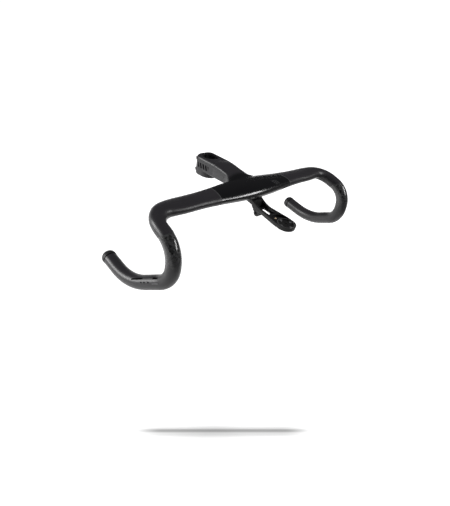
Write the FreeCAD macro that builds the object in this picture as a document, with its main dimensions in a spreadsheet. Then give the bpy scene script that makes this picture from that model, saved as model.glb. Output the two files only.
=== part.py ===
import FreeCAD, Part
import Sketcher
import math
import os

os.makedirs("parts", exist_ok=True)
doc = FreeCAD.newDocument("handlebar_stem")
V = FreeCAD.Vector

# Frame: the origin is on the steerer axis at the clamp's lower face, +Z runs up the steerer
# and the handlebar lies ahead of it, towards -Y. The rider's right hand is on the -X side.

# Driving dimensions, in millimetres and degrees.
SIZES = {
    # One-piece bar: its place, then each run of the centreline as steps outward, forward and down
    "stem_length": 110.0,
    "bar_height": 18.0,
    "top_out": 208.0,
    "top_down": 1.6,
    "ramp_out": 2.8,
    "ramp_forward": 67.3,
    "ramp_down": 20.3,
    "hook_out": 2.1,
    "hook_forward": 1.0,
    "hook_down": 58.1,
    "drop_out": 20.3,
    "drop_back": 79.4,
    "drop_down": 42.5,
    "tail_in": 0.5,
    "tail_back": 61.4,
    "tail_up": 11.6,
    "corner_radius": 33.5,
    "hood_radius": 39.2,
    "hook_radius": 39.5,
    "drop_radius": 98.0,
    # Cross-sections of the bar
    "tube_radius": 11.9,
    "tube_wall": 2.4,
    "top_half_chord": 19.6,
    "top_half_thick": 9.0,
    "top_tilt": 3.0,
    "top_bluntness": 0.95,
    "centre_half_chord": 30.0,
    "centre_half_thick": 12.1,
    "centre_reach": 125.0,
    "flat_end": 150.0,
    # Stem block and steerer clamp
    "stem_half_width": 20.0,
    "stem_top": 38.0,
    "stem_root_top": 28.2,
    "stem_bottom": 9.5,
    "stem_flat": 38.0,
    "stem_crown": 110.0,
    "stem_root_round": 11.0,
    "stem_edge": 6.5,
    "stem_under_edge": 5.0,
    "stem_wall": 4.0,
    "clamp_rear": 24.5,
    "clamp_corner": 14.0,
    "clamp_edge": 3.5,
    "steerer_radius": 14.3,
    "slit_width": 3.0,
    "cap_seat_radius": 17.0,
    "cap_seat_depth": 1.5,
    "hose_port_radius": 6.0,
    "hose_port_length": 24.0,
    "lever_port_radius": 2.8,
    # Clamp bolts
    "clamp_bolt_back": 19.5,
    "clamp_bolt_spacing": 21.0,
    "clamp_bolt_radius": 2.5,
    "clamp_bolt_length": 22.6,
    "clamp_head_radius": 4.25,
    "clamp_head_height": 5.0,
    "clamp_key": 4.0,
    "clamp_seat": 9.5,
    "washer_thick": 0.8,
    "nut_radius": 4.0,
    "nut_length": 10.0,
    "nut_seat": 4.0,
    # Bar-end plugs
    "plug_radius": 12.3,
    "plug_length": 9.5,
    "plug_round": 7.0,
    "plug_groove": 1.4,
    "plug_spigot_length": 10.0,
    "sleeve_length": 12.0,
    "cone_length": 6.0,
    "plug_screw_radius": 2.0,
    "plug_screw_head_radius": 3.5,
    "plug_screw_head_height": 3.0,
    "plug_screw_key": 3.0,
    # Computer mount arm, in the tilted frame of its ring
    "ring_forward": 91.9,
    "ring_fall": 26.9,
    "ring_tilt": 5.7,
    "ring_radius": 17.4,
    "ring_wall": 1.5,
    "puck_step": 11.5,
    "arm_thick": 7.5,
    "arm_half_width": 13.0,
    "arm_neck": 58.5,
    "neck_round": 50.0,
    "arm_taper": 48.0,
    "arm_under_round": 2.2,
    "rail_width": 4.0,
    "channel_depth": 5.6,
    "channel_front": 31.5,
    "channel_rear": 63.5,
    "channel_lean": 5.0,
    "knee_back": 65.5,
    "base_front": 74.0,
    "base_under": 71.0,
    "base_rear": 99.0,
    "base_depth": 1.0,
    "base_height": 9.0,
    "base_slope": 1.3,
    "window_length": 22.0,
    "window_width": 13.0,
    "window_back": 49.0,
    "arm_bolt_back": 87.0,
    "arm_bolt_spacing": 15.0,
    "arm_bolt_radius": 2.0,
    "arm_head_radius": 3.5,
    "arm_head_height": 2.6,
    "arm_bolt_length": 9.0,
    "arm_bolt_key": 2.5,
    "bar_insert_radius": 3.0,
    "bar_insert_top": 14.0,
    # Twist-lock puck and its screws
    "puck_height": 4.2,
    "puck_floor": 1.6,
    "puck_wall": 1.7,
    "lip_depth": 2.4,
    "lip_thick": 1.1,
    "lip_half_width": 6.0,
    "lip_turn": 45.0,
    "screw_circle": 11.5,
    "screw_radius": 1.25,
    "screw_head_radius": 2.1,
    "screw_head_height": 1.2,
    "screw_length": 3.4,
    "screw_key": 1.5,
    "puck_hole_radius": 4.0,
    "puck_chamfer": 0.7,
    "insert_skin": 0.6,
    "brass_radius": 1.9,
    # Camera lug under the arm
    "lug_back": 62.5,
    "lug_drop": 8.2,
    "lug_radius": 6.3,
    "lug_hole_radius": 2.6,
    "prong_thick": 3.0,
    "prong_gap": 3.2,
    "lug_plate": 1.9,
    "lug_plate_length": 6.4,
    "lug_screw_spacing": 19.0,
    "nut_across": 8.0,
    "nut_thick": 2.4,
    # Fits, and how far a cutting tool runs past what it cuts
    "clearance": 0.1,
    "seat_gap": 0.15,
    "overrun": 1.0,
    "tool_reach": 60.0,
}

sheet = doc.addObject("Spreadsheet::Sheet", "Sizes")
for row, (alias, size) in enumerate(SIZES.items(), start=1):
    sheet.set(f"A{row}", alias)
    sheet.set(f"B{row}", str(size))
    sheet.setAlias(f"B{row}", alias)
doc.recompute()


def size(alias):
    """Read one driving dimension from the sheet."""
    return float(sheet.get(alias))


def sheet_value(formula):
    """Work out a formula of the sheet in its scratch cell."""
    sheet.set("D1", f"={formula}")
    sheet.recompute()
    return float(sheet.get("D1"))


def bind(formula):
    """Turn bare alias names in a formula into references to the sheet."""
    words = formula.replace("(", "( ").replace(")", " )").split()
    return " ".join(f"Sizes.{word}" if word in SIZES else word for word in words)


def primitive(kind, name, at=("0", "0", "0"), turn=None, **sizes):
    """Add a Part primitive with its sizes and place bound to the sheet."""
    item = doc.addObject(f"Part::{kind}", name)
    if turn:
        item.Placement.Rotation = turn
    for prop, formula in sizes.items():
        item.setExpression(prop, bind(formula))
    for axis, formula in zip("xyz", at):
        item.setExpression(f"Placement.Base.{axis}", bind(formula))
    return item


def joined(name, *items):
    """Fuse overlapping pieces into one solid."""
    item = doc.addObject("Part::MultiFuse", name)
    item.Shapes = list(items)
    item.Refine = True
    return item


def cut(name, base, *tools):
    """Cut one or more tools out of a base."""
    tool = tools[0] if len(tools) == 1 else joined(f"{name}_tools", *tools)
    item = doc.addObject("Part::Cut", name)
    item.Base = base
    item.Tool = tool
    return item


def group(name, *items):
    """Keep separate like solids together under one node."""
    item = doc.addObject("Part::Compound", name)
    item.Links = list(items)
    return item


X_AXIS = V(1, 0, 0)
Z_AXIS = V(0, 0, 1)
ALONG_X = FreeCAD.Rotation(Z_AXIS, X_AXIS)
UPSIDE_DOWN = FreeCAD.Rotation(X_AXIS, 180)
ROUND_WEIGHT = math.sqrt(0.5)
TOLERANCE = 0.01
nodes = []


def finish(item, label, place=None):
    """Name a finished sub-part after its node."""
    item.Label = label
    if place:
        item.Placement = place
    nodes.append(item)
    return item


# Handlebar centreline: straight runs joined by tangent arcs, from the bar centre to the tail.
def bar_point(span, forward, fall):
    return V(span, -size("stem_length") - forward, size("bar_height") - fall)


def centreline():
    """Corner points of the half towards +X and the bend radius at each inner corner."""
    runs = [
        V(size("top_out"), 0, -size("top_down")),
        V(size("ramp_out"), -size("ramp_forward"), -size("ramp_down")),
        V(size("hook_out"), -size("hook_forward"), -size("hook_down")),
        V(size("drop_out"), size("drop_back"), -size("drop_down")),
        V(-size("tail_in"), size("tail_back"), size("tail_up")),
    ]
    corners = [bar_point(0, 0, 0)]
    for run in runs:
        corners.append(corners[-1] + run)
    bends = [size(f"{name}_radius") for name in ("corner", "hood", "hook", "drop")]
    return corners, bends


def bend_arc(before, corner, after, radius):
    """Tangent arc at a corner, as its start, middle and end points and its centre."""
    back = (before - corner).normalize()
    ahead = (after - corner).normalize()
    half_angle = back.getAngle(ahead) / 2
    reach = radius / math.tan(half_angle)
    middle_way = (back + ahead).normalize()
    centre = corner + middle_way * (radius / math.sin(half_angle))
    return corner + back * reach, centre - middle_way * radius, corner + ahead * reach, centre


def tube_spine():
    """Wire from the end of the corner bend to the tail, where the bar is a round tube."""
    corners, bends = centreline()
    edges = []
    arcs = [bend_arc(*corners[i:i + 3], radius) for i, radius in enumerate(bends)]
    start = arcs[0][2]
    for arc_start, arc_middle, arc_end, _ in arcs[1:]:
        edges.append(Part.LineSegment(start, arc_start).toShape())
        edges.append(Part.Arc(arc_start, arc_middle, arc_end).toShape())
        start = arc_end
    edges.append(Part.LineSegment(start, corners[-1]).toShape())
    return Part.Wire(edges)


def tail_direction():
    corners, _ = centreline()
    return (corners[-1] - corners[-2]).normalize()


def conic_quarter(start, shoulder, end, weight):
    curve = Part.BSplineCurve()
    curve.buildFromPolesMultsKnots([start, shoulder, end], [3, 3], [0, 1], False, 2, [1, weight, 1])
    return curve.toShape()


def oval(centre, tangent, half_chord, half_thick, weight, tilt):
    """Closed section of four conic quarters across the centreline; equal halves give a circle."""
    up = (Z_AXIS - tangent * tangent.dot(Z_AXIS)).normalize()
    roll = FreeCAD.Rotation(tangent, tilt)
    thick = roll.multVec(up) * half_thick
    chord = roll.multVec(tangent.cross(up)) * half_chord
    tips = [chord, thick, -chord, -thick]
    edges = []
    for tip, following in zip(tips, tips[1:] + tips[:1]):
        edges.append(conic_quarter(centre + tip, centre + tip + following, centre + following, weight))
    return Part.Wire(edges)


def smooth_step(share):
    share = min(max(share, 0.0), 1.0)
    return share * share * (3 - 2 * share)


def blend(first, second, share):
    return first + (second - first) * share


def top_section(place, tangent, run, round_end, inset):
    """Section of the tops at a run from the bar centre: wide middle, flat tops, round at the end."""
    middle = smooth_step(1 - run / size("centre_reach"))
    turning = smooth_step((run - size("flat_end")) / (round_end - size("flat_end")))
    chord = blend(size("top_half_chord"), size("centre_half_chord"), middle)
    thick = blend(size("top_half_thick"), size("centre_half_thick"), middle)
    chord = blend(chord, size("tube_radius"), turning) - inset
    thick = blend(thick, size("tube_radius"), turning) - inset
    weight = blend(size("top_bluntness"), ROUND_WEIGHT, turning)
    return oval(place, tangent, chord, thick, weight, size("top_tilt") * (1 - turning))


STRAIGHT_SHARES = (0.0, 0.12, 0.3, 0.5, 0.72, 0.88)
BEND_SHARES = (0.0, 0.2, 0.4, 0.6, 0.8, 1.0)


def half_stations():
    """Centreline places, directions and runs from the bar centre to the end of the corner bend."""
    corners, bends = centreline()
    arc_start, _, arc_end, arc_centre = bend_arc(*corners[:3], bends[0])
    along = (corners[1] - corners[0]).normalize()
    straight = (arc_start - corners[0]).Length
    stations = []
    for share in STRAIGHT_SHARES:
        stations.append((corners[0] + along * straight * share, along, straight * share))
    start_arm = arc_start - arc_centre
    turn_axis = start_arm.cross(arc_end - arc_centre)
    full_turn = start_arm.getAngle(arc_end - arc_centre)
    for share in BEND_SHARES:
        turn = FreeCAD.Rotation(turn_axis, math.degrees(full_turn * share))
        run = straight + bends[0] * full_turn * share
        stations.append((arc_centre + turn.multVec(start_arm), turn.multVec(along), run))
    return stations


def tops(inset):
    """Loft of the flat tops from one round corner to the other."""
    stations = half_stations()
    round_end = stations[-1][2]
    sections = []
    for place, tangent, run in reversed(stations[1:]):
        mirrored = V(-place.x, place.y, place.z)
        heading = V(tangent.x, -tangent.y, -tangent.z)
        sections.append(top_section(mirrored, heading, run, round_end, inset))
    for place, tangent, run in stations:
        sections.append(top_section(place, tangent, run, round_end, inset))
    return Part.makeLoft(sections, True, False)


def drop_tube(radius):
    """Round tube of one drop along its spine."""
    spine = tube_spine()
    start = spine.OrderedVertexes[0].Point
    heading = spine.OrderedEdges[0].tangentAt(spine.OrderedEdges[0].FirstParameter)
    ring = Part.Wire(Part.Circle(start, heading, radius).toShape())
    return spine.makePipeShell([ring], True, False)


def bar_solid(inset):
    """Whole bar from tail to tail."""
    drop = drop_tube(size("tube_radius") - inset)
    return tops(inset).fuse([drop, drop.mirror(V(0, 0, 0), X_AXIS)])


def rounded_outline(points, radii):
    """Closed outline with a tangent arc at each corner that has a radius."""
    edges = []
    count = len(points)
    stops = []
    for i, (corner, radius) in enumerate(zip(points, radii)):
        if radius:
            stops.append(bend_arc(points[i - 1], corner, points[(i + 1) % count], radius)[:3])
        else:
            stops.append((corner, None, corner))
    for i, (start, middle, end) in enumerate(stops):
        if middle:
            edges.append(Part.Arc(start, middle, end).toShape())
        following = stops[(i + 1) % count][0]
        if (following - end).Length > TOLERANCE:
            edges.append(Part.LineSegment(end, following).toShape())
    return Part.Face(Part.Wire(edges))


def rim_edges(solid, low, high, front):
    """Edges of a block between two heights, apart from those of its front end."""
    rim = []
    for edge in solid.Edges:
        box = edge.BoundBox
        if box.ZMin > low and box.ZMax < high and box.YMax > front + TOLERANCE:
            rim.append(edge)
    return rim


def seam_edges(whole, first, second):
    """Edges of a fused shape that lie on both of the shapes it was fused from."""
    seam = []
    for edge in whole.Edges:
        middle = Part.Vertex(edge.valueAt((edge.FirstParameter + edge.LastParameter) / 2))
        if all(middle.distToShape(shape.Shells[0])[0] < TOLERANCE for shape in (first, second)):
            seam.append(edge)
    return seam


# Bar and stem: one hollow carbon moulding. The tops are a loft of blunt ovals, the drops are bent
# tubes, and the stem is a block rounded into the bar, whose collar takes the steerer.
def stem_block():
    half = size("stem_half_width")
    root = -size("stem_length") + size("centre_half_chord") / 2
    rear = size("clamp_rear")
    corner = size("clamp_corner")
    plan = rounded_outline([V(half, rear), V(half, root), V(-half, root), V(-half, rear)],
                           [corner, 0, 0, corner])
    top = size("stem_top")
    bottom = size("stem_bottom")
    above = top + size("overrun")
    behind = rear + size("overrun")
    side = rounded_outline(
        [V(-half, behind, bottom), V(-half, behind, top), V(-half, -size("stem_flat"), top),
         V(-half, root, size("stem_root_top")), V(-half, root, bottom)],
        [0, 0, size("stem_crown"), 0, 0])
    block = plan.extrude(V(0, 0, above)).common(side.extrude(V(2 * half, 0, 0)))
    middle = (top + bottom) / 2
    block = block.makeFillet(size("stem_edge"), rim_edges(block, middle, above, root))
    return block.makeFillet(size("stem_under_edge"), rim_edges(block, 0, middle, root))


def collar():
    """Lower part of the clamp, round in front and squared behind."""
    half = size("stem_half_width")
    rear = size("clamp_rear")
    corner = size("clamp_corner")
    plan = rounded_outline([V(half, rear), V(half, -half), V(-half, -half), V(-half, rear)],
                           [corner, half, half, corner])
    block = plan.extrude(V(0, 0, size("stem_bottom") + size("stem_under_edge") * 2))
    rim = [edge for edge in block.Edges if edge.BoundBox.ZMax < TOLERANCE]
    return block.makeFillet(size("clamp_edge"), rim)


def stem_cavity():
    """Hollow of the stem, from the steerer bore's wall to the hollow of the bar."""
    wall = size("stem_wall")
    half = size("stem_half_width") - wall
    front = -size("stem_length")
    near = -size("steerer_radius") - wall
    side = Part.Face(Part.makePolygon([
        V(-half, near, size("stem_bottom") + wall), V(-half, near, size("stem_top") - wall * 2),
        V(-half, front + size("centre_half_chord"), size("stem_root_top") - wall),
        V(-half, front, size("stem_root_top") - wall), V(-half, front, size("stem_bottom") + wall),
        V(-half, near, size("stem_bottom") + wall)]))
    return side.extrude(V(2 * half, 0, 0))


def hose_port():
    """Long hole under the stem where the brake hoses come in."""
    radius = size("hose_port_radius")
    reach = size("hose_port_length") / 2 - radius
    middle = (-size("stem_half_width") - size("stem_length") + size("centre_half_chord")) / 2
    height = size("stem_bottom") + size("stem_wall") * 2
    slot = Part.makeBox(2 * radius, 2 * reach, height, V(-radius, middle - reach, 0))
    ends = [Part.makeCylinder(radius, height, V(0, middle + way * reach, 0)) for way in (-1, 1)]
    return slot.fuse(ends)


def lever_ports():
    """Hole in the hollow of each hook where a brake hose leaves for its lever."""
    corners, _ = centreline()
    start = (corners[2] + corners[3]) / 2
    port = Part.makeCylinder(size("lever_port_radius"), 2 * size("tube_radius"), start, V(0, 1, 0))
    return [port, port.mirror(V(0, 0, 0), X_AXIS)]


def clamp_bolt_heights():
    middle = size("stem_top") / 2
    return [middle - size("clamp_bolt_spacing") / 2, middle + size("clamp_bolt_spacing") / 2]


def clamp_holes():
    """Slit behind the steerer and, through both ears, a stepped hole for each bolt and nut."""
    slit = size("slit_width")
    past = size("overrun")
    tall = size("stem_top") + 2 * past
    tools = [Part.makeBox(slit, size("clamp_rear") + past, tall, V(-slit / 2, 0, -past))]
    reach = 2 * size("stem_half_width")
    for height in clamp_bolt_heights():
        centre = V(0, size("clamp_bolt_back"), height)
        shank_radius = size("clamp_bolt_radius") + 2 * size("clearance")
        head_radius = size("clamp_head_radius") + 2 * size("clearance")
        nut_radius = size("nut_radius") + size("clearance")
        head_seat = centre - X_AXIS * size("clamp_seat")
        nut_seat = centre + X_AXIS * size("nut_seat")
        tools.append(Part.makeCylinder(shank_radius, 2 * reach, centre - X_AXIS * reach, X_AXIS))
        tools.append(Part.makeCylinder(head_radius, reach, head_seat, -X_AXIS))
        tools.append(Part.makeCylinder(nut_radius, reach, nut_seat, X_AXIS))
    return tools


def steerer_bore():
    tall = size("stem_top") + 2 * size("overrun")
    seat_floor = size("stem_top") - size("cap_seat_depth")
    return [Part.makeCylinder(size("steerer_radius"), tall, V(0, 0, -size("overrun"))),
            Part.makeCylinder(size("cap_seat_radius"), tall, V(0, 0, seat_floor))]


# Frame of the computer mount: at the centre of its ring, tilted nose down about X.
ring_frame = FreeCAD.Placement(bar_point(0, size("ring_forward"), size("ring_fall")),
                               FreeCAD.Rotation(X_AXIS, size("ring_tilt")))


def in_ring_frame(shape):
    moved = shape.copy()
    moved.Placement = ring_frame.inverse().multiply(moved.Placement)
    return moved


def insert_holes():
    """Holes in the bar's underside for the mount's threaded inserts."""
    tools = []
    for way in (-1, 1):
        foot = V(way * size("arm_bolt_spacing") / 2, size("arm_bolt_back"), 0)
        radius = size("bar_insert_radius") + size("clearance") / 2
        hole = Part.makeCylinder(radius, size("bar_insert_top"), foot)
        hole.Placement = ring_frame.multiply(hole.Placement)
        tools.append(hole)
    return tools


bar_outside = bar_solid(0)
stem_outside = stem_block()
moulding = bar_outside.fuse([stem_outside, collar()]).removeSplitter()
moulding = moulding.makeFillet(size("stem_root_round"), seam_edges(moulding, bar_outside, stem_outside))
hollows = [bar_solid(size("tube_wall")), stem_cavity(), hose_port()]
moulding = moulding.cut(hollows + steerer_bore() + clamp_holes() + lever_ports() + insert_holes())
bar = doc.addObject("Part::Feature", "bar_and_stem")
bar.Shape = moulding
finish(bar, "bar_and_stem")


# Turned pieces: a profile of radius and height, turned about the Z axis of its own body.
def profile_sketch(body, role, name, corners):
    """Closed sketch of straight lines whose corners are formulas of the sheet."""
    sketch = body.newObject("Sketcher::SketchObject", name)
    plane = [item for item in body.Origin.OriginFeatures if item.Role == role][0]
    sketch.AttachmentSupport = [(plane, "")]
    sketch.MapMode = "FlatFace"
    values = [[sheet_value(formula) for formula in corner] for corner in corners]
    count = len(corners)
    for i, (across, along) in enumerate(values):
        following = values[(i + 1) % count]
        sketch.addGeometry(Part.LineSegment(V(across, along), V(*following)), False)
    for i, corner in enumerate(corners):
        sketch.addConstraint(Sketcher.Constraint("Coincident", i, 2, (i + 1) % count, 1))
        for kind, formula, value in zip(("DistanceX", "DistanceY"), corner, values[i]):
            number = sketch.addConstraint(Sketcher.Constraint(kind, -1, 1, i, 1, value))
            sketch.setExpression(f"Constraints[{number}]", bind(formula))
    return sketch


def turned(name, corners):
    """Body turned about its Z axis from a profile of (radius, height) corners."""
    body = doc.addObject("PartDesign::Body", name)
    sketch = profile_sketch(body, "XZ_Plane", f"{name}_profile", corners)
    turn = body.newObject("PartDesign::Revolution", f"{name}_turn")
    turn.Profile = sketch
    turn.ReferenceAxis = (sketch, ["V_Axis"])
    turn.Angle = 360
    return body


def padded(name, role, corners, depth):
    """Body padded both ways from its plane."""
    body = doc.addObject("PartDesign::Body", name)
    sketch = profile_sketch(body, role, f"{name}_outline", corners)
    pad = body.newObject("PartDesign::Pad", f"{name}_pad")
    pad.Profile = sketch
    pad.SideType = "Symmetric"
    pad.setExpression("Length", bind(depth))
    return body


def rounded(body, name, radius, wanted):
    """Round those edges of a body whose bounding boxes are wanted."""
    doc.recompute()
    before = body.Tip
    edges = enumerate(body.Shape.Edges, start=1)
    made = body.newObject("PartDesign::Fillet", name)
    made.Base = (before, [f"Edge{number}" for number, edge in edges if wanted(edge.BoundBox)])
    made.setExpression("Radius", bind(radius))
    body.Tip = made


def hex_socket(name, across, depth, at):
    """Hexagon pocket tool of a given size across its flats, standing at a given place."""
    return primitive("Prism", name, at=at, Polygon="6", Circumradius=f"{across} / sqrt(3)", Height=depth)


def placed(name, source, at, turn=None):
    """Copy of a finished piece in a place bound to the sheet."""
    copy = doc.addObject("App::Link", name)
    copy.LinkedObject = source
    if turn:
        copy.LinkPlacement = FreeCAD.Placement(V(0, 0, 0), turn)
    for axis, formula in zip("xyz", at):
        copy.setExpression(f"LinkPlacement.Base.{axis}", bind(formula))
    return copy


# Clamp bolts: two socket-head screws across the ears, each on a washer and into a flush sleeve nut.
clamp_bolt = cut(
    "clamp_bolt",
    turned("clamp_bolt_blank", [
        ("0", "0"), ("clamp_head_radius", "0"), ("clamp_head_radius", "clamp_head_height"),
        ("clamp_bolt_radius", "clamp_head_height"),
        ("clamp_bolt_radius", "clamp_head_height + clamp_bolt_length"),
        ("0", "clamp_head_height + clamp_bolt_length")]),
    hex_socket("clamp_bolt_socket", "clamp_key", "clamp_head_height / 2", ("0", "0", "0")))
clamp_washer = turned("clamp_washer", [
    ("clamp_bolt_radius + clearance", "0"), ("clamp_head_radius", "0"),
    ("clamp_head_radius", "washer_thick"), ("clamp_bolt_radius + clearance", "washer_thick")])
clamp_nut = turned("clamp_nut", [
    ("clamp_bolt_radius + clearance", "0"), ("nut_radius", "0"),
    ("nut_radius", "nut_length"), ("clamp_bolt_radius + clearance", "nut_length")])
for label, piece, start in (
        ("clamp_bolts", clamp_bolt, "0 - clamp_seat - washer_thick - clamp_head_height"),
        ("clamp_washers", clamp_washer, "0 - clamp_seat - washer_thick"),
        ("clamp_nuts", clamp_nut, "nut_seat")):
    copies = []
    for side, way in (("lower", "-"), ("upper", "+")):
        height = f"stem_top / 2 {way} clamp_bolt_spacing / 2"
        copies.append(placed(f"{label}_{side}", piece, (start, "clamp_bolt_back", height), ALONG_X))
    finish(group(label, *copies), label)

# Bar-end plugs: a rounded cap, a rubber sleeve in the tube, and the screw that draws a cone into it.
cap_body = turned("plug_cap", [
    ("plug_screw_radius + clearance", "0 - plug_spigot_length"),
    ("tube_radius - tube_wall - clearance", "0 - plug_spigot_length"),
    ("tube_radius - tube_wall - clearance", "seat_gap"), ("tube_radius - plug_groove", "seat_gap"),
    ("tube_radius - plug_groove", "seat_gap + plug_groove"), ("plug_radius", "seat_gap + plug_groove"),
    ("plug_radius", "plug_length"), ("plug_screw_head_radius + clearance", "plug_length"),
    ("plug_screw_head_radius + clearance", "plug_length - plug_screw_head_height"),
    ("plug_screw_radius + clearance", "plug_length - plug_screw_head_height")])
rounded(cap_body, "plug_cap_round", "plug_round",
        lambda box: box.ZMin > size("plug_length") - TOLERANCE and box.XMax > size("plug_radius") - TOLERANCE)
plug_sleeve = turned("plug_sleeve", [
    ("plug_screw_radius + clearance", "0 - plug_spigot_length - sleeve_length"),
    ("tube_radius - tube_wall - clearance", "0 - plug_spigot_length - sleeve_length"),
    ("tube_radius - tube_wall - clearance", "0 - plug_spigot_length - seat_gap"),
    ("plug_screw_radius + clearance", "0 - plug_spigot_length - seat_gap")])
plug_cone = turned("plug_cone", [
    ("plug_screw_radius + clearance", "0 - plug_spigot_length - sleeve_length - cone_length"),
    ("tube_radius - tube_wall - clearance * 4", "0 - plug_spigot_length - sleeve_length - cone_length"),
    ("tube_radius - tube_wall - cone_length / 2", "0 - plug_spigot_length - sleeve_length - seat_gap"),
    ("plug_screw_radius + clearance", "0 - plug_spigot_length - sleeve_length - seat_gap")])
plug_screw = cut(
    "plug_screw",
    turned("plug_screw_blank", [
        ("0", "0 - plug_spigot_length - sleeve_length - cone_length"),
        ("plug_screw_radius", "0 - plug_spigot_length - sleeve_length - cone_length"),
        ("plug_screw_radius", "plug_length - plug_screw_head_height"),
        ("plug_screw_head_radius", "plug_length - plug_screw_head_height"),
        ("plug_screw_head_radius", "plug_length"), ("0", "plug_length")]),
    hex_socket("plug_screw_socket", "plug_screw_key", "plug_screw_head_height",
               ("0", "0", "plug_length - plug_screw_head_height / 2")))

# Computer mount arm: a plate with a ring at its end, rails along a channel, and a curved neck that
# carries its base under the bar, in the ring's frame.
arm_side = padded("arm_side", "YZ_Plane", [
    ("0 - ring_radius * 2", "0 - arm_thick"), ("0 - ring_radius * 2", "0"), ("arm_neck", "0"),
    ("base_front", "base_height - base_slope"), ("base_rear", "base_height"),
    ("base_rear", "base_depth"), ("base_under", "0 - base_depth"),
    ("knee_back", "0 - arm_thick")], "tool_reach")
rounded(arm_side, "arm_neck_round", "neck_round",
        lambda box: abs(box.YMax - size("arm_neck")) < TOLERANCE and abs(box.ZMax) < TOLERANCE
        and box.YLength < TOLERANCE)
arm_plan = padded("arm_plan", "XY_Plane", [
    ("0 - ring_radius", "0"), ("ring_radius", "0"), ("ring_radius", "puck_step"),
    ("arm_half_width", "arm_taper"), ("arm_half_width", "base_rear"), ("0 - arm_half_width", "base_rear"),
    ("0 - arm_half_width", "arm_taper"), ("0 - ring_radius", "puck_step")], "tool_reach")
arm_tip = primitive("Cylinder", "arm_tip", at=("0", "0", "0 - tool_reach / 2"),
                    Radius="ring_radius", Height="tool_reach")
arm_blank = doc.addObject("Part::Common", "arm_blank")
arm_blank.Base = arm_side
arm_blank.Tool = joined("arm_outline", arm_plan, arm_tip)
doc.recompute()
under_edges = []
for number, edge in enumerate(arm_blank.Shape.Edges, start=1):
    box = edge.BoundBox
    if box.ZMax < TOLERANCE - size("arm_thick") and box.YLength > TOLERANCE:
        under_edges.append((number, size("arm_under_round"), size("arm_under_round")))
arm_body = doc.addObject("Part::Fillet", "arm_body")
arm_body.Base = arm_blank
arm_body.Edges = under_edges


def slot(name, radius, length, start, floor, height):
    """Round-ended slot along Y from a start, as a tool standing on a floor."""
    first = primitive("Cylinder", f"{name}_first", at=("0", start, floor), Radius=radius, Height=height)
    second = primitive("Cylinder", f"{name}_second", at=("0", f"{start} + {length}", floor),
                       Radius=radius, Height=height)
    middle = primitive("Box", f"{name}_middle", at=(f"0 - ( {radius} )", start, floor),
                       Length=f"( {radius} ) * 2", Width=length, Height=height)
    return joined(name, first, second, middle)


recess = slot("puck_recess", "ring_radius - ring_wall", "puck_step", "0",
              "0 - puck_height - seat_gap", "arm_thick")
channel = padded("arm_channel", "YZ_Plane", [
    ("channel_front", "0 - channel_depth"), ("channel_rear", "0 - channel_depth"),
    ("channel_rear + channel_lean", "base_height"), ("channel_front", "base_height")],
    "( arm_half_width - rail_width ) * 2")
window = slot("arm_window", "window_width / 2", "window_length - window_width",
              "window_back - window_length / 2 + window_width / 2", "0 - tool_reach / 2", "tool_reach")
arm_tools = [recess, channel, window]
for side, way in (("near", "-"), ("far", "+")):
    place = f"0 {way} arm_bolt_spacing / 2"
    foot = (place, "arm_bolt_back", "0 - arm_thick")
    arm_tools.append(primitive("Cylinder", f"arm_bolt_hole_{side}", at=foot,
                               Radius="arm_bolt_radius + clearance * 2", Height="tool_reach"))
    arm_tools.append(primitive("Cylinder", f"arm_head_hole_{side}", at=foot,
                               Radius="arm_head_radius + clearance * 2",
                               Height="arm_thick + base_depth + arm_head_height"))

# Screw places: four round each of the puck's two positions, and two beside the camera lug.
front_screws = [("0", "0 - screw_circle"), ("0", "screw_circle"),
                ("0 - screw_circle", "0"), ("screw_circle", "0")]
rear_screws = [(across, f"{along} + puck_step") for across, along in front_screws]
lug_screws = [("0 - lug_screw_spacing / 2", "lug_back"), ("lug_screw_spacing / 2", "lug_back")]
recess_floor = "0 - puck_height - seat_gap"
insert_length = "arm_thick - puck_height - insert_skin"
lug_insert_length = "arm_thick - channel_depth - insert_skin / 2"
for i, (across, along) in enumerate(front_screws + rear_screws):
    foot = (across, along, f"{recess_floor} - ( {insert_length} )")
    arm_tools.append(primitive("Cylinder", f"puck_insert_hole_{i}", at=foot,
                               Radius="brass_radius + clearance / 2", Height="arm_thick"))
for i, (across, along) in enumerate(lug_screws):
    foot = (across, along, "0 - arm_thick * 2")
    arm_tools.append(primitive("Cylinder", f"lug_insert_hole_{i}", at=foot,
                               Radius="brass_radius + clearance / 2",
                               Height=f"arm_thick + {lug_insert_length}"))
bar_clearance = doc.addObject("Part::Feature", "bar_clearance")
bar_clearance.Shape = in_ring_frame(tops(-size("seat_gap")))
arm_tools.append(bar_clearance)
mount_arm = cut("arm_shape", arm_body, *arm_tools)

# Brass inserts, moulded into the arm: longer ones under the puck, shorter ones over the lug.
inserts = []
for name, length in (("puck_insert", insert_length), ("lug_insert", lug_insert_length)):
    inserts.append(turned(name, [
        ("screw_radius + clearance / 2", f"0 - ( {length} )"), ("brass_radius", f"0 - ( {length} )"),
        ("brass_radius", "0"), ("screw_radius + clearance / 2", "0")]))
puck_insert, lug_insert = inserts
puck_inserts = group("puck_inserts_set", *[
    placed(f"puck_insert_{i}", puck_insert, (across, along, recess_floor))
    for i, (across, along) in enumerate(front_screws + rear_screws)])
lug_inserts = group("camera_lug_inserts_set", *[
    placed(f"lug_insert_{i}", lug_insert, (across, along, f"0 - arm_thick + {lug_insert_length}"))
    for i, (across, along) in enumerate(lug_screws)])

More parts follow.
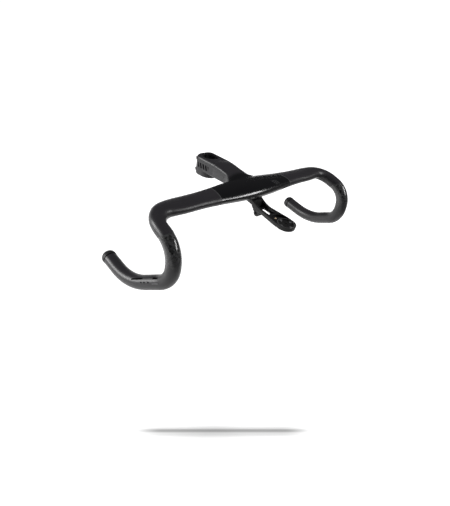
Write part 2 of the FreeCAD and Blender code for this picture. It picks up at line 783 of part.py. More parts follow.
# Twist-lock puck: a shallow cup with two inward lips, seated in the forward end of the recess.
puck_cup = turned("puck_cup", [
    ("0", "0"), ("ring_radius - ring_wall - clearance", "0"),
    ("ring_radius - ring_wall - clearance", "puck_height - puck_chamfer"),
    ("ring_radius - ring_wall - clearance - puck_chamfer", "puck_height"),
    ("ring_radius - ring_wall - clearance - puck_wall", "puck_height"),
    ("ring_radius - ring_wall - clearance - puck_wall", "puck_floor"), ("0", "puck_floor")])
lip_ring = turned("puck_lip_ring", [
    ("ring_radius - ring_wall - puck_wall - lip_depth", "puck_height - lip_thick"),
    ("ring_radius - ring_wall - clearance - puck_wall / 2", "puck_height - lip_thick"),
    ("ring_radius - ring_wall - clearance - puck_wall / 2", "puck_height"),
    ("ring_radius - ring_wall - puck_wall - lip_depth", "puck_height")])
lip_band = padded("puck_lip_band", "XY_Plane", [
    ("0 - lip_half_width", "0 - ring_radius"), ("lip_half_width", "0 - ring_radius"),
    ("lip_half_width", "ring_radius"), ("0 - lip_half_width", "ring_radius")], "tool_reach")
lip_band.Placement.Rotation = FreeCAD.Rotation(Z_AXIS, size("lip_turn"))
lips = doc.addObject("Part::Common", "puck_lips")
lips.Base = lip_ring
lips.Tool = lip_band
puck_holes = [
    primitive("Cylinder", f"puck_screw_hole_{i}", at=(across, along, "0 - puck_floor"),
              Radius="screw_radius + clearance", Height="tool_reach")
    for i, (across, along) in enumerate(front_screws)]
puck_holes.append(primitive("Cylinder", "puck_centre_well", at=("0", "0", "puck_floor / 2"),
                            Radius="puck_hole_radius", Height="tool_reach"))
puck_shell = cut("puck_shell", joined("puck_blank", puck_cup, lips), *puck_holes)
computer_puck = group("computer_puck_set", placed("puck_in_place", puck_shell, ("0", "0", recess_floor)))

# Small screws of the puck and the lug: a round head with a hexagon socket, on a short shank.
small_screw = cut(
    "small_screw",
    turned("small_screw_blank", [
        ("0", "0 - screw_length"), ("screw_radius", "0 - screw_length"), ("screw_radius", "0"),
        ("screw_head_radius", "0"), ("screw_head_radius", "screw_head_height"),
        ("0", "screw_head_height")]),
    hex_socket("small_screw_socket", "screw_key", "screw_head_height", ("0", "0", "screw_head_height / 2")))
puck_screws = group("puck_screws_set", *[
    placed(f"puck_screw_{i}", small_screw, (across, along, f"{recess_floor} + puck_floor"))
    for i, (across, along) in enumerate(front_screws)])
lug_screw_group = group("camera_lug_screws_set", *[
    placed(f"lug_screw_{i}", small_screw, (across, along, "0 - arm_thick - lug_plate"), UPSIDE_DOWN)
    for i, (across, along) in enumerate(lug_screws)])

# Camera lug: a plate under the arm with a two-pronged fork, a cross hole and a boss for its nut.
lug_height = "0 - arm_thick - lug_drop"
plate_half = "lug_screw_spacing / 2 + screw_head_radius + seat_gap * 4"
plate_corner = (f"0 - ( {plate_half} )", "lug_back - lug_plate_length / 2", "0 - arm_thick - lug_plate")
lug_plate = primitive("Box", "lug_plate_block", at=plate_corner,
                      Length=f"( {plate_half} ) * 2", Width="lug_plate_length", Height="lug_plate")
fork_half = "prong_gap / 2 + prong_thick"
lug_lobe = primitive("Cylinder", "lug_lobe", at=(f"0 - ( {fork_half} )", "lug_back", lug_height),
                     turn=ALONG_X, Radius="lug_radius", Height=f"( {fork_half} ) * 2 + nut_thick")
lug_stalk = primitive("Box", "lug_stalk", at=(f"0 - ( {fork_half} )", "lug_back - lug_radius", lug_height),
                      Length=f"( {fork_half} ) * 2", Width="lug_radius * 2",
                      Height="lug_drop - lug_plate / 2")
lug_gap = primitive("Box", "lug_gap",
                    at=("0 - prong_gap / 2", "lug_back - lug_radius * 2", f"{lug_height} - lug_radius * 2"),
                    Length="prong_gap", Width="lug_radius * 4",
                    Height="lug_radius * 2 + lug_drop - lug_plate")
lug_hole = primitive("Cylinder", "lug_hole", at=("0 - tool_reach / 2", "lug_back", lug_height),
                     turn=ALONG_X, Radius="lug_hole_radius", Height="tool_reach")
nut_pocket = primitive("Prism", "lug_nut_pocket", at=(fork_half, "lug_back", lug_height), turn=ALONG_X,
                       Polygon="6", Circumradius="nut_across / sqrt(3) + clearance", Height="tool_reach")
lug_tools = [lug_gap, lug_hole, nut_pocket]
for i, (across, along) in enumerate(lug_screws):
    foot = (across, along, "0 - arm_thick * 2")
    lug_tools.append(primitive("Cylinder", f"lug_screw_hole_{i}", at=foot,
                               Radius="screw_radius + clearance", Height="tool_reach"))
camera_lug = cut("lug_shape", joined("lug_blank", lug_plate, lug_lobe, lug_stalk), *lug_tools)
lug_nut = cut(
    "lug_nut_shape",
    primitive("Prism", "lug_nut_blank", at=(fork_half, "lug_back", lug_height), turn=ALONG_X,
              Polygon="6", Circumradius="nut_across / sqrt(3)", Height="nut_thick"),
    primitive("Cylinder", "lug_nut_thread", at=("0", "lug_back", lug_height), turn=ALONG_X,
              Radius="lug_hole_radius + clearance / 2", Height="tool_reach"))

# Mount bolts from below, into threaded inserts bonded in the bar's underside.
arm_bolt = cut(
    "arm_bolt",
    turned("arm_bolt_blank", [
        ("0", "0 - arm_head_height"), ("arm_head_radius", "0 - arm_head_height"),
        ("arm_head_radius", "0"), ("arm_bolt_radius", "0"),
        ("arm_bolt_radius", "arm_bolt_length"), ("0", "arm_bolt_length")]),
    hex_socket("arm_bolt_socket", "arm_bolt_key", "arm_head_height / 2", ("0", "0", "0 - arm_head_height")))
insert_sleeve = turned("bar_insert_sleeve", [
    ("arm_bolt_radius + clearance", "0"), ("bar_insert_radius", "0"),
    ("bar_insert_radius", "bar_insert_top"), ("arm_bolt_radius + clearance", "bar_insert_top")])
arm_bolts = []
bar_inserts = []
for side, way in (("near", "-"), ("far", "+")):
    place = f"0 {way} arm_bolt_spacing / 2"
    seat = (place, "arm_bolt_back", "base_depth + arm_head_height")
    arm_bolts.append(placed(f"arm_bolt_{side}", arm_bolt, seat))
    bar_inserts.append(placed(f"bar_insert_{side}", insert_sleeve, (place, "arm_bolt_back", "0")))
bar_in_ring_frame = doc.addObject("Part::Feature", "bar_in_ring_frame")
bar_in_ring_frame.Shape = in_ring_frame(bar_outside)
flush_inserts = doc.addObject("Part::Common", "flush_inserts")
flush_inserts.Base = group("insert_blanks", *bar_inserts)
flush_inserts.Tool = bar_in_ring_frame

doc.recompute()
for item, label in (
        (mount_arm, "mount_arm"), (group("arm_bolt_set", *arm_bolts), "mount_arm_bolts"),
        (flush_inserts, "bar_inserts"), (puck_inserts, "puck_inserts"), (computer_puck, "computer_puck"),
        (puck_screws, "puck_screws"), (camera_lug, "camera_lug"), (lug_screw_group, "camera_lug_screws"),
        (lug_inserts, "camera_lug_inserts"), (lug_nut, "camera_lug_nut")):
    finish(group(f"{label}_placed", item), label, ring_frame)
tail_end = centreline()[0][-1]
outward = tail_direction()
plug_pieces = {"cap": cap_body, "sleeve": plug_sleeve, "cone": plug_cone, "screw": plug_screw}
for side, way in (("right", -1), ("left", 1)):
    place = V(way * tail_end.x, tail_end.y, tail_end.z)
    heading = V(way * outward.x, outward.y, outward.z)
    frame = FreeCAD.Placement(place, FreeCAD.Rotation(Z_AXIS, heading))
    for piece, source in plug_pieces.items():
        label = f"plug_{piece}_{side}"
        finish(group(f"{label}_placed", source), label, frame)

doc.recompute()
for item in doc.Objects:
    if "Invalid" in item.State or "Error" in item.State:
        raise RuntimeError(f"{item.Name} did not build")
for item in nodes:
    if item.Shape.isNull() or not item.Shape.isValid():
        raise RuntimeError(f"{item.Label} has no valid shape")
    item.Shape.exportStep(f"parts/{item.Label}.step")
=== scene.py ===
import bmesh
import bpy
import math
from mathutils import Matrix, Quaternion, Vector
from mathutils.bvhtree import BVHTree


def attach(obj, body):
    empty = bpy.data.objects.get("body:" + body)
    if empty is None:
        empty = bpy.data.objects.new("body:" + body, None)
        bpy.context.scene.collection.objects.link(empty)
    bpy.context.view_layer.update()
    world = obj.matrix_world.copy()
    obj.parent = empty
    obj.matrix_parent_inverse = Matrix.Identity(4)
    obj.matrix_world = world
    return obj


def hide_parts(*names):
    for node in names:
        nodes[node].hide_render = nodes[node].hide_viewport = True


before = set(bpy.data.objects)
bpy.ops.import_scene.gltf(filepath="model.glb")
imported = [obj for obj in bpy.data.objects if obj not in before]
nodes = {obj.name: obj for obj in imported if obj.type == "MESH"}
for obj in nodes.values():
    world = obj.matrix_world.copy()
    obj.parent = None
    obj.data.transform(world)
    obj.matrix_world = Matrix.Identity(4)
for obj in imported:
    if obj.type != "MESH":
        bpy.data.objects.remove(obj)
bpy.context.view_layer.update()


# One-piece bar and stem: carbon fibre, laid in a mould and cured as one hollow piece. Satin lacquer
# covers it, apart from a polished panel over the middle of the tops and, on each hook, a polished
# band of chopped fibre where a brake lever clamps.
class Wire:
    """A socket of a material's node tree. Arithmetic on wires adds Math nodes to the tree."""

    def __init__(self, tree, socket=None):
        self.tree = tree
        self.socket = socket

    def node(self, kind, settings=None, sockets=None, output=0):
        """Add a node: its settings first, then the values or links of its sockets."""
        made = self.tree.nodes.new(kind)
        for name, value in (settings or {}).items():
            setattr(made, name, value)
        for name, value in (sockets or {}).items():
            if isinstance(value, Wire):
                self.tree.links.new(value.socket, made.inputs[name])
            else:
                made.inputs[name].default_value = value
        return Wire(self.tree, made.outputs[output])

    def calc(self, operation, *terms):
        """Math node on wires and numbers."""
        sockets = dict(enumerate(terms))
        return self.node("ShaderNodeMath", {"operation": operation}, sockets)

    def __add__(self, other):
        return self.calc("ADD", self, other)

    def __sub__(self, other):
        return self.calc("SUBTRACT", self, other)

    def __mul__(self, other):
        return self.calc("MULTIPLY", self, other)

    def __radd__(self, other):
        return self.calc("ADD", other, self)

    def __rsub__(self, other):
        return self.calc("SUBTRACT", other, self)

    def __rmul__(self, other):
        return self.calc("MULTIPLY", other, self)

    def __abs__(self):
        return self.calc("ABSOLUTE", self)

    def rise(self, start, end):
        """0 below start, 1 above end, smooth between."""
        sockets = {"Value": self, "From Min": start, "From Max": end}
        return self.node("ShaderNodeMapRange", {"interpolation_type": "SMOOTHSTEP"}, sockets)

    def within(self, low, high, soft):
        """1 between low and high, fading to 0 over a soft edge outside them."""
        return self.rise(low - soft, low) * (1 - self.rise(high, high + soft))

    def noise(self, place, scale, detail):
        """Cloudy pattern from 0 to 1, a half on average."""
        return self.node("ShaderNodeTexNoise", None, {"Vector": place, "Scale": scale, "Detail": detail})

    def tint(self, share, first, second):
        """Colour between two colours."""
        sockets = {"Factor": share, 6: first, 7: second}
        return self.node("ShaderNodeMix", {"data_type": "RGBA"}, sockets, output=2)


def new_material(name):
    """Empty material, its surface shader, and a wire to start expressions from."""
    made = bpy.data.materials.new(name)
    made.use_nodes = True
    shader = made.node_tree.nodes["Principled BSDF"]
    return made, shader, Wire(made.node_tree)


def feed(material, shader, **inputs):
    """Link wires, or set plain values, on a shader's inputs named with underscores for spaces."""
    for name, value in inputs.items():
        socket = shader.inputs[name.replace("_", " ")]
        if isinstance(value, Wire):
            material.node_tree.links.new(value.socket, socket)
        else:
            socket.default_value = value


def object_axes(wire):
    """Object coordinates, as one vector and as its three numbers."""
    place = wire.node("ShaderNodeTexCoord", output=3)
    parts = place.node("ShaderNodeSeparateXYZ", None, {"Vector": place})
    split = parts.socket.node
    return place, [Wire(wire.tree, split.outputs[i]) for i in range(3)]


def dress(material, *names):
    """Give CAD nodes a finished material in place of their plain one."""
    for name in names:
        for place in nodes[name].material_slots:
            place.material = material


carbon, carbon_shader, start = new_material("lacquered_carbon")
place, (x, y, z) = object_axes(start)
out = abs(x)
crisp = 0.0004

# Polished panel: it ends on a slanted line across the tops and at the stem's root.
panel_half = 0.0660
panel_slant = 0.15
panel_rear = -0.084
panel_fade, line_fade = 0.012, 0.004
line_width, line_soft = 0.0008, 0.0003
panel_edge = panel_half - panel_slant * y - out
panel = panel_edge.rise(0, crisp) * (1 - y.rise(panel_rear, panel_rear + panel_fade))
panel_line = panel_edge.within(-line_width, 0.0, line_soft)
panel_line = panel_line * (1 - y.rise(panel_rear, panel_rear + line_fade))

# Lever band: cut square across the bend above, faded out over the hook below.
band_start, band_fade_start, band_fade_end = 0.0960, 0.026, 0.056
band_ahead, band_down = 0.64, 0.77
band_low, band_low_end = -0.066, -0.056
band_inside, band_inside_end = 0.185, 0.190
cloud_scale, cloud_reach = 260, 0.020
band_along = -band_ahead * y - band_down * z - band_start
clouds = start.noise(place, cloud_scale, 4)
band_fade = (band_along + cloud_reach * (clouds - 0.5)).rise(band_fade_start, band_fade_end)
band = band_along.rise(0, crisp) * (1 - band_fade)
band = band * z.rise(band_low, band_low_end) * out.rise(band_inside, band_inside_end)

# Lever scale printed on the outside of each drop: a broken line, three ticks and a pale bar.
hook_out, hook_ahead, hook_up = 0.2129, -0.1783, -0.062
tube_out, tube_ahead, tube_drop = 0.220, 0.860, 0.460
round_out, round_ahead, round_up = 0.114, 0.446, 0.888
face_out, face_ahead = 0.969, 0.248
face_start, face_end = 0.002, 0.004
tick_width, tick_places = 0.0028, (0.0360, 0.0446, 0.0512)
side_out, side_ahead, side_up = out - hook_out, y - hook_ahead, z - hook_up
down_tube = tube_out * side_out + tube_ahead * side_ahead - tube_drop * side_up
up_tube = round_out * side_out + round_ahead * side_ahead + round_up * side_up
outward = (face_out * side_out - face_ahead * side_ahead).rise(face_start, face_end)


def printed_row(low, high, runs):
    """Strip along the tube, from low to high round it, printed over each of its runs."""
    strip = up_tube.within(low, high, crisp)
    printed_runs = [down_tube.within(first, last, crisp) for first, last in runs]
    return strip * sum(printed_runs[1:], printed_runs[0])


broken_line = printed_row(low=0.0088, high=0.0103, runs=[(0.018, 0.029), (0.051, 0.075)])
ticks = printed_row(low=0.0042, high=0.0057, runs=[(first, first + tick_width) for first in tick_places])
pale_bar = printed_row(low=0.0020, high=0.0032, runs=[(0.017, 0.0294)])
scale_dark = (broken_line + ticks) * outward
scale_pale = pale_bar * outward


# Plain slanted strokes: dark ones on the stem's sides, pale ones on the panel.
def strokes(across, pitch, first, last, soft):
    """Strokes at a pitch, each from the first to the last share of it."""
    return start.calc("FRACT", across * (1 / pitch)).within(first, last, soft)


stem_lean, panel_lean = 0.35, 0.45
panel_soft, panel_strength = 0.0003, 0.5
panel_crest, panel_crest_end = 0.019, 0.020
stem_mark = strokes(y - stem_lean * z, pitch=0.0075, first=0.10, last=0.62, soft=0.06)
stem_mark = stem_mark * z.within(0.0165, 0.0255, crisp) * y.within(-0.0190, 0.0110, crisp)
stem_mark = stem_mark * out.within(0.0190, 0.0215, crisp)
panel_mark = strokes(x + panel_lean * y, pitch=0.0050, first=0.20, last=0.40, soft=0.08)
panel_mark = panel_mark * x.within(0.0410, 0.0550, panel_soft) * y.within(-0.1310, -0.1205, panel_soft)
panel_mark = panel_mark * z.rise(panel_crest, panel_crest_end)
print_dark = scale_dark + stem_mark
print_pale = scale_pale + panel_strength * panel_mark

# Finish: satin lacquer, polish over the panel and the bands, and in the bands flat chips of fibre.
chip_scale, speckle_scale, cloudy_scale = 330.0, 900, 38
line_grey, print_grey = (0.045, 0.045, 0.046, 1), (0.085, 0.085, 0.087, 1)
print_black = (0.004, 0.004, 0.0042, 1)
satin_rough, speckle_rough, polish_smooth, chip_rough = 0.38, 0.04, 0.15, 0.10
satin_peel, polish_coat = 0.5, 0.6
chips = start.node("ShaderNodeTexVoronoi", None, {"Vector": place, "Scale": chip_scale}, output=1)
chip_tone = start.node("ShaderNodeSeparateColor", None, {"Color": chips})
speckle = start.noise(place, speckle_scale, 3)
cloudy = start.noise(place, cloudy_scale, 3)
satin = start.tint(cloudy, (0.0135, 0.0128, 0.0145, 1), (0.0170, 0.0160, 0.0180, 1))
polished = start.tint(cloudy, (0.0034, 0.0034, 0.0039, 1), (0.0046, 0.0046, 0.0051, 1))
fibre = start.tint(chip_tone, (0.003, 0.003, 0.0032, 1), (0.045, 0.045, 0.046, 1))
skin = start.tint(panel, satin, polished)
skin = start.tint(band, skin, fibre)
skin = start.tint(panel_line, skin, line_grey)
skin = start.tint(print_pale, skin, print_grey)
gloss = panel + band - panel * band
roughness = satin_rough + speckle_rough * (speckle - 0.5) - polish_smooth * gloss
roughness = roughness + chip_rough * band * (chip_tone - 0.5)
peel = speckle * satin_peel * (1 - panel) + chip_tone * band
relief = start.node("ShaderNodeBump", None, {"Strength": 0.04, "Distance": 0.0004, "Height": peel})
feed(carbon, carbon_shader, Base_Color=skin, Roughness=roughness, Normal=relief)
feed(carbon, carbon_shader, Coat_Weight=polish_coat * gloss, Coat_Roughness=0.18, Coat_IOR=1.4)
feed(carbon, carbon_shader, Specular_IOR_Level=0.36)
ink = start.node("ShaderNodeBsdfDiffuse", None, {"Color": print_black})
lacquer = Wire(start.tree, carbon_shader.outputs[0])
printed = start.node("ShaderNodeMixShader", None, {0: print_dark, 1: lacquer, 2: ink})
carbon_output = carbon.node_tree.nodes["Material Output"]
carbon.node_tree.links.new(printed.socket, carbon_output.inputs["Surface"])
dress(carbon, "bar_and_stem")


# Crown of the stem: the same moulding's outer ply, domed across the top and swelling into the tops.
# It lies over the solid's flatter top and dips under its skin at both ends and below the shoulders.
def ease(share):
    """0 to 1 with level ends."""
    share = min(max(share, 0.0), 1.0)
    return share * share * (3 - 2 * share)


stem_half, shoulder_drop = 0.0200, 0.0065
crown_rise, crown_widening = 0.0025, 0.0005
ply_thickness, tuck = 0.0004, 0.0003
crown_back, crown_front = -0.020, -0.107
rise_run, widening_run = 0.030, 0.020
fall_start, fall_run = -0.080, 0.026
swell_start, swell_run, swell_foot = -0.066, 0.022, 0.0185
flare_start, flare_round, flare_share = -0.062, 0.026, 0.97
flank_low, flank_tuck = 0.0145, 0.002
stem_power, swell_power = 2.6, 2.0
stations, steps = 58, 16
overhead, downward = 1.0, Vector((0, 0, -1))
bar_skin = bmesh.new()
bar_skin.from_mesh(nodes["bar_and_stem"].data)
bar_skin.transform(nodes["bar_and_stem"].matrix_world)
bar_tree = BVHTree.FromBMesh(bar_skin)
rows = []
for station in range(stations + 1):
    along = crown_back + (crown_front - crown_back) * station / stations
    solid_top = bar_tree.ray_cast(Vector((0, along, overhead)), downward)[0].z
    rise = ease((crown_back - along) / rise_run) * (1 - ease((fall_start - along) / fall_run))
    top = solid_top + crown_rise * rise - tuck
    swell = ease((swell_start - along) / swell_run)
    reach = min(max(flare_start - along, 0), flare_share * flare_round)
    flare = flare_round - math.sqrt(flare_round ** 2 - reach ** 2)
    half = stem_half - tuck + crown_widening * ease((crown_back - along) / widening_run) + flare
    foot = (1 - swell) * (solid_top - shoulder_drop) + swell * swell_foot
    power = stem_power + (swell_power - stem_power) * swell
    arch = []
    for step in range(-steps, steps + 1):
        turn = math.pi / 2 * step / steps
        across = half * math.copysign(abs(math.sin(turn)) ** (2 / power), step)
        arch.append((across, foot + (top - foot) * math.cos(turn) ** (2 / power)))
    flank = [(half, flank_low), (stem_half - flank_tuck, flank_low - flank_tuck)]
    arch = [(-across, height) for across, height in reversed(flank)] + arch + flank
    rows.append([Vector((across, along, height)) for across, height in arch])
bar_skin.free()
cells = len(rows[0]) - 1
bpy.ops.object.select_all(action="DESELECT")
bpy.ops.mesh.primitive_grid_add(x_subdivisions=cells, y_subdivisions=stations, size=1)
stem_crown = bpy.context.object
stem_crown.name = stem_crown.data.name = "stem_crown"
for corner in stem_crown.data.vertices:
    station = round((0.5 - corner.co.y) * stations)
    corner.co = rows[station][round((corner.co.x + 0.5) * cells)]
bpy.ops.object.shade_smooth()
ply = stem_crown.modifiers.new("ply", "SOLIDIFY")
ply.thickness = ply_thickness
ply.offset = -1
bpy.ops.object.modifier_apply(modifier=ply.name)
stem_crown.data.materials.append(carbon)
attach(stem_crown, "root")


# Steerer clamp hardware: two socket-head screws through the clamp's ears, each on a washer and in a
# sleeve nut. The screws and washers are blackened steel, and the nuts are turned aluminium.
def metal(name, dark, light, roughness, scale, metallic=1.0):
    """Bare or blackened metal with fine turning marks and handling stains."""
    marks_per_stain = 12
    stain_rough, mark_rough = 0.16, 0.08
    made, shader, wire = new_material(name)
    place, _ = object_axes(wire)
    stain = wire.noise(place, scale, 4)
    fine = wire.noise(place, scale * marks_per_stain, 2)
    tone = wire.tint(stain, (*dark, 1), (*light, 1))
    relief = wire.node("ShaderNodeBump", None, {"Strength": 0.05, "Distance": 0.0002, "Height": fine})
    rough = roughness + stain_rough * (stain - 0.5) + mark_rough * (fine - 0.5)
    feed(made, shader, Base_Color=tone, Roughness=rough, Normal=relief, Metallic=metallic)
    return made


black_steel = metal("black_oxide_steel", (0.030, 0.029, 0.030), (0.075, 0.073, 0.075), 0.42, 420)
bright_aluminium = metal("turned_aluminium", (0.50, 0.50, 0.51), (0.64, 0.64, 0.65), 0.34, 420)
dress(black_steel, "clamp_bolts", "clamp_washers")
dress(bright_aluminium, "clamp_nuts")


# Bar-end plugs: a domed cap with a ring round the tube's end, held by a screw that pulls a cone
# into a rubber sleeve. Only the cap, its ring and the screw's head show. The ring's near-black colour
# is painted shade: it stands for the dark groove between the cap and the tube.
def moulded(name, dark, light, roughness, grain, specular=0.5, highlight_rim=None):
    """Moulded plastic or rubber with a fine spark-eroded grain, flow clouds and perhaps a painted highlight
    on a rim.
    """
    flow_scale = 60
    grain_rough, flow_rough = 0.12, 0.08
    rim_soft, rim_highlight_grey = 0.0002, (0.040, 0.040, 0.041, 1)
    made, shader, wire = new_material(name)
    place, (x, y, z) = object_axes(wire)
    flow = wire.noise(place, flow_scale, 3)
    fine = wire.noise(place, grain, 3)
    tone = wire.tint(flow, (*dark, 1), (*light, 1))
    # Painted highlight: a pale ring round an upright axis, lying over a rim's edge.
    if highlight_rim:
        rim_ahead, rim_inside, rim_outside = highlight_rim
        ahead = y - rim_ahead
        from_axis = wire.calc("SQRT", x * x + ahead * ahead)
        tone = wire.tint(from_axis.within(rim_inside, rim_outside, rim_soft), tone, rim_highlight_grey)
    relief = wire.node("ShaderNodeBump", None, {"Strength": 0.12, "Distance": 0.0003, "Height": fine})
    rough = roughness + grain_rough * (fine - 0.5) + flow_rough * (flow - 0.5)
    feed(made, shader, Base_Color=tone, Roughness=rough, Normal=relief, Specular_IOR_Level=specular)
    return made


cap_plastic = moulded("plug_cap_plastic", (0.010, 0.010, 0.0105), (0.014, 0.014, 0.0145), 0.50, 1600, 0.3)
# Painted shade: the ring's near-black colour stands for the shade in the groove under the cap.
ring_painted_shade = moulded("plug_ring_painted_shade", (0.0015, 0.0015, 0.0016), (0.0028, 0.0028, 0.003), 0.75, 1200, 0.06)
sleeve_rubber = moulded("plug_rubber", (0.016, 0.016, 0.016), (0.024, 0.024, 0.024), 0.72, 1200)
recess_radius, recess_floor, recess_lip = 0.0037, 0.0063, 0.0107
dome_radius, dome_flat = 0.0123, 0.0041
dome_foot, dome_top = 0.0026, 0.0111
ring_radius, ring_edge, ring_end = 0.01205, -0.0004, -0.0020
ring_lip_radius, ring_lip_end = 0.0118, -0.0021
turn_sides, arc_step, sharp_angle = 72, 6, 40
ring_margin = 0.00001
profile = [(recess_radius, recess_floor), (recess_radius, recess_lip)]
for degrees in range(0, 91, arc_step):
    turn = math.radians(degrees)
    profile.append((dome_flat + (dome_radius - dome_flat) * math.sin(turn),
                    dome_foot + (dome_top - dome_foot) * math.cos(turn)))
profile += [(dome_radius, ring_edge), (ring_radius, ring_edge), (ring_radius, ring_end)]
profile.append((ring_lip_radius, ring_lip_end))
bpy.ops.object.select_all(action="DESELECT")
bpy.ops.mesh.primitive_circle_add(vertices=turn_sides, radius=recess_radius, fill_type="NGON")
turned_dome = bpy.context.object
bpy.ops.object.mode_set(mode="EDIT")
bpy.ops.mesh.select_all(action="SELECT")
for (radius, along), (next_radius, next_along) in zip(profile, profile[1:]):
    bpy.ops.mesh.extrude_edges_move(TRANSFORM_OT_translate={"value": (0, 0, next_along - along)})
    share = next_radius / radius
    bpy.ops.transform.resize(value=(share, share, 1), center_override=(0, 0, 0))
bpy.ops.mesh.edge_face_add()
bpy.ops.mesh.select_all(action="SELECT")
bpy.ops.mesh.normals_make_consistent(inside=False)
bpy.ops.object.mode_set(mode="OBJECT")
bpy.ops.object.shade_smooth_by_angle(angle=math.radians(sharp_angle))
turned_dome.data.materials.append(cap_plastic)
turned_dome.data.materials.append(ring_painted_shade)
# Faces of the ring below the cap take the painted shade.
for face in turned_dome.data.polygons:
    face.material_index = int(recess_floor + face.center.z < ring_edge + ring_margin)
plug_out, plug_ahead, plug_up = 0.2327, -0.0375, -0.0929
plug_toe, plug_back, plug_rise = -0.0080, 0.9826, 0.1856
for side, way in (("right", -1), ("left", 1)):
    seat = Vector((plug_out * way, plug_ahead, plug_up))
    axis = Vector((plug_toe * way, plug_back, plug_rise)).normalized()
    dome = turned_dome.copy()
    dome.data = turned_dome.data.copy()
    dome.name = dome.data.name = f"plug_dome_{side}"
    bpy.context.collection.objects.link(dome)
    upright = axis.to_track_quat("Z", "Y").to_matrix().to_4x4()
    dome.data.transform(Matrix.Translation(seat + axis * recess_floor) @ upright)
    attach(dome, "root")
    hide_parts(f"plug_cap_{side}")
    dress(sleeve_rubber, f"plug_sleeve_{side}")
    dress(bright_aluminium, f"plug_cone_{side}")
    dress(black_steel, f"plug_screw_{side}")
bpy.data.meshes.remove(turned_dome.data)


# Computer mount: a fibre-filled plastic arm under the bar, held from below by two screws into
# inserts bonded in the bar. Its end holds brass inserts for the puck in either of two places.
arm_plastic = moulded("arm_plastic", (0.0060, 0.0060, 0.0063), (0.0095, 0.0095, 0.0099), 0.38, 1500, 0.25)
brass = metal("dull_brass", (0.78, 0.64, 0.46), (0.92, 0.78, 0.58), 0.50, 500, 0.5)
dress(arm_plastic, "mount_arm")
dress(brass, "puck_inserts")
dress(black_steel, "mount_arm_bolts")
dress(bright_aluminium, "bar_inserts")


# Twist-lock puck: a moulded cup with two lips, which a cycle computer turns into. Four small bright
# screws hold it down in the arm's recess.
puck_ahead, puck_rim_inside, puck_rim_outside = -0.2019, 0.0141, 0.0156
# Painted highlight: the pale ring over the puck's rim stands for light caught on its edges.
puck_plastic = moulded("puck_plastic", (0.006, 0.006, 0.0062), (0.009, 0.009, 0.0092), 0.34, 1500,
                       highlight_rim=(puck_ahead, puck_rim_inside, puck_rim_outside))
bright_steel = metal("bright_steel", (0.18, 0.18, 0.19), (0.28, 0.28, 0.29), 0.40, 600, 0.7)
dress(puck_plastic, "computer_puck")
dress(bright_steel, "puck_screws")


# Camera lug: a moulded fork under the arm, on two screws into brass inserts, with a steel nut
# pressed into its far side for the cross bolt of a camera or a lamp.
dress(arm_plastic, "camera_lug")
dress(brass, "camera_lug_inserts")
dress(black_steel, "camera_lug_screws", "camera_lug_nut")


# Studio: white paper far below the bar, turned up at its edges. One soft box stands low at the left
# rear and a long one at the right front. One overhead lights the paper and throws a soft shadow, and
# shows in no reflection.
floor_drop = -0.74
floor_reach = 9.0
wall_height = 1.85
bpy.ops.object.select_all(action="DESELECT")
bpy.ops.mesh.primitive_plane_add(size=2 * floor_reach, location=(0, 0, floor_drop))
floor = bpy.context.object
floor.name = "studio_floor"
bpy.ops.object.mode_set(mode="EDIT")
bpy.ops.mesh.select_all(action="SELECT")
bpy.ops.mesh.extrude_edges_move(TRANSFORM_OT_translate={"value": (0, 0, wall_height)})
bpy.ops.object.mode_set(mode="OBJECT")
paper, paper_shader, start = new_material("studio_paper")
light_path = start.node("ShaderNodeLightPath")
rays = light_path.socket.node.outputs
seen = start.calc("MAXIMUM", Wire(start.tree, rays["Is Camera Ray"]), Wire(start.tree, rays["Is Glossy Ray"]))
seen = start.calc("MAXIMUM", seen, Wire(start.tree, rays["Is Transmission Ray"]))
place, (x, y, z) = object_axes(start)
middle_white, white_start, white_end = 0.36, 0.35, 2.4
away = start.calc("SQRT", x * x + y * y)
white = middle_white + (1 - middle_white) * away.rise(white_start, white_end)

# Soft shadow under the bar: a thin grey streak painted on the paper, with a darker core.
streak_out, streak_ahead = 0.0844, 0.1187
streak_cos, streak_sin = 0.7944, 0.6074
core_dark, edge_dark = 0.32, 0.34
from_out, from_ahead = x - streak_out, y + streak_ahead
streak_along = streak_cos * from_out - streak_sin * from_ahead
streak_across = streak_sin * from_out + streak_cos * from_ahead
streak_core = streak_across.within(low=-0.0030, high=-0.0010, soft=0.0075)
streak_edge = streak_across.within(low=-0.0120, high=0.0020, soft=0.0170)
streak = core_dark * streak_core + edge_dark * streak_edge
streak = streak * streak_along.within(low=-0.190, high=0.161, soft=0.120)

# Grey paper to the right of the view, so that the bar's front faces reflect a darker room.
beside_out, beside_ahead = 0.394, 0.636
beside_cos, beside_sin = 0.372, 0.928
beside_start, beside_end, beside_dark = 0.06, 0.50, 0.75
beside = beside_cos * (x - beside_out) - beside_sin * (y + beside_ahead)
beside = beside.rise(beside_start, beside_end)
clean = (1 - streak) * (1 - beside_dark * beside)
tone = start.tint(clean, (0, 0, 0, 1), (0.80, 0.80, 0.80, 1))
feed(paper, paper_shader, Base_Color=tone, Roughness=0.9)
strength = white * seen * clean
glow = start.node("ShaderNodeEmission", None, {"Color": (1, 1, 1, 1), "Strength": strength})
lit = start.node("ShaderNodeAddShader", None, {0: Wire(start.tree, paper_shader.outputs[0]), 1: glow})
paper_output = paper.node_tree.nodes["Material Output"]
paper.node_tree.links.new(lit.socket, paper_output.inputs["Surface"])
floor.data.materials.append(paper)

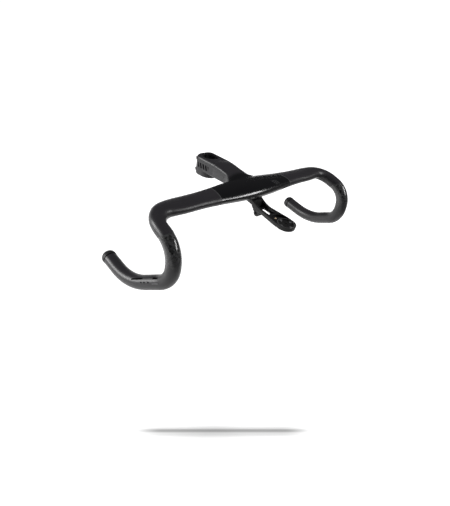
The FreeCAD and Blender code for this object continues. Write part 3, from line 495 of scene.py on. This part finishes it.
room_grey = (0.03, 0.03, 0.031, 1)
world = bpy.data.worlds.new("studio_room")
world.use_nodes = True
world.node_tree.nodes["Background"].inputs["Color"].default_value = room_grey
bpy.context.scene.world = world
target = Vector((0, -0.09, -0.02))
for name, spot, wide, tall, turn, watts in (
        ("left_soft_box", (-1.60, 1.15, 0.35), 0.75, 0.7, 0.0, 32),
        ("front_soft_box", (1.00, -1.19, 0.91), 1.0, 0.28, 0.54, 17),
        ("overhead_soft_box", (0.0, 0.0, 3.0), 0.7, 0.7, 0.0, 100)):
    lamp = bpy.data.lights.new(name, "AREA")
    lamp.shape = "RECTANGLE"
    lamp.size = wide
    lamp.size_y = tall
    lamp.energy = watts
    holder = bpy.data.objects.new(name, lamp)
    holder.visible_glossy = name != "overhead_soft_box"
    holder.location = spot
    holder.rotation_mode = "QUATERNION"
    aim = (target - Vector(spot)).to_track_quat("-Z", "Y")
    holder.rotation_quaternion = aim @ Quaternion((0, 0, 1), turn)
    bpy.context.collection.objects.link(holder)

# Camera: close to the rider's right end of the bar, looking down across it, tilted a little. Its
# shift puts the lens's centre at the photograph's.
photo_wide, photo_tall = 450, 506
focal_pixels = 412.05
centre_across, centre_down = 228.57, 259.37
sensor_tall = 36.0
azimuth, elevation, roll = -0.8304, 0.5625, 0.1581
camera_data = bpy.data.cameras.new("photo_camera")
camera_data.sensor_fit = "VERTICAL"
camera_data.sensor_height = sensor_tall
camera_data.lens = focal_pixels / photo_tall * sensor_tall
camera_data.shift_x = (photo_wide / 2 - centre_across) / photo_tall
camera_data.shift_y = (centre_down - photo_tall / 2) / photo_tall
camera = bpy.data.objects.new("photo_camera", camera_data)
backward = Vector((math.sin(azimuth) * math.cos(elevation),
                   -math.cos(azimuth) * math.cos(elevation), math.sin(elevation)))
camera.location = (-0.5154, -0.5575, 0.2936)
camera.rotation_mode = "QUATERNION"
camera.rotation_quaternion = (-backward).to_track_quat("-Z", "Y") @ Quaternion((0, 0, 1), roll)
bpy.context.collection.objects.link(camera)
bpy.context.scene.camera = camera
bpy.context.scene.view_settings.view_transform = "Standard"
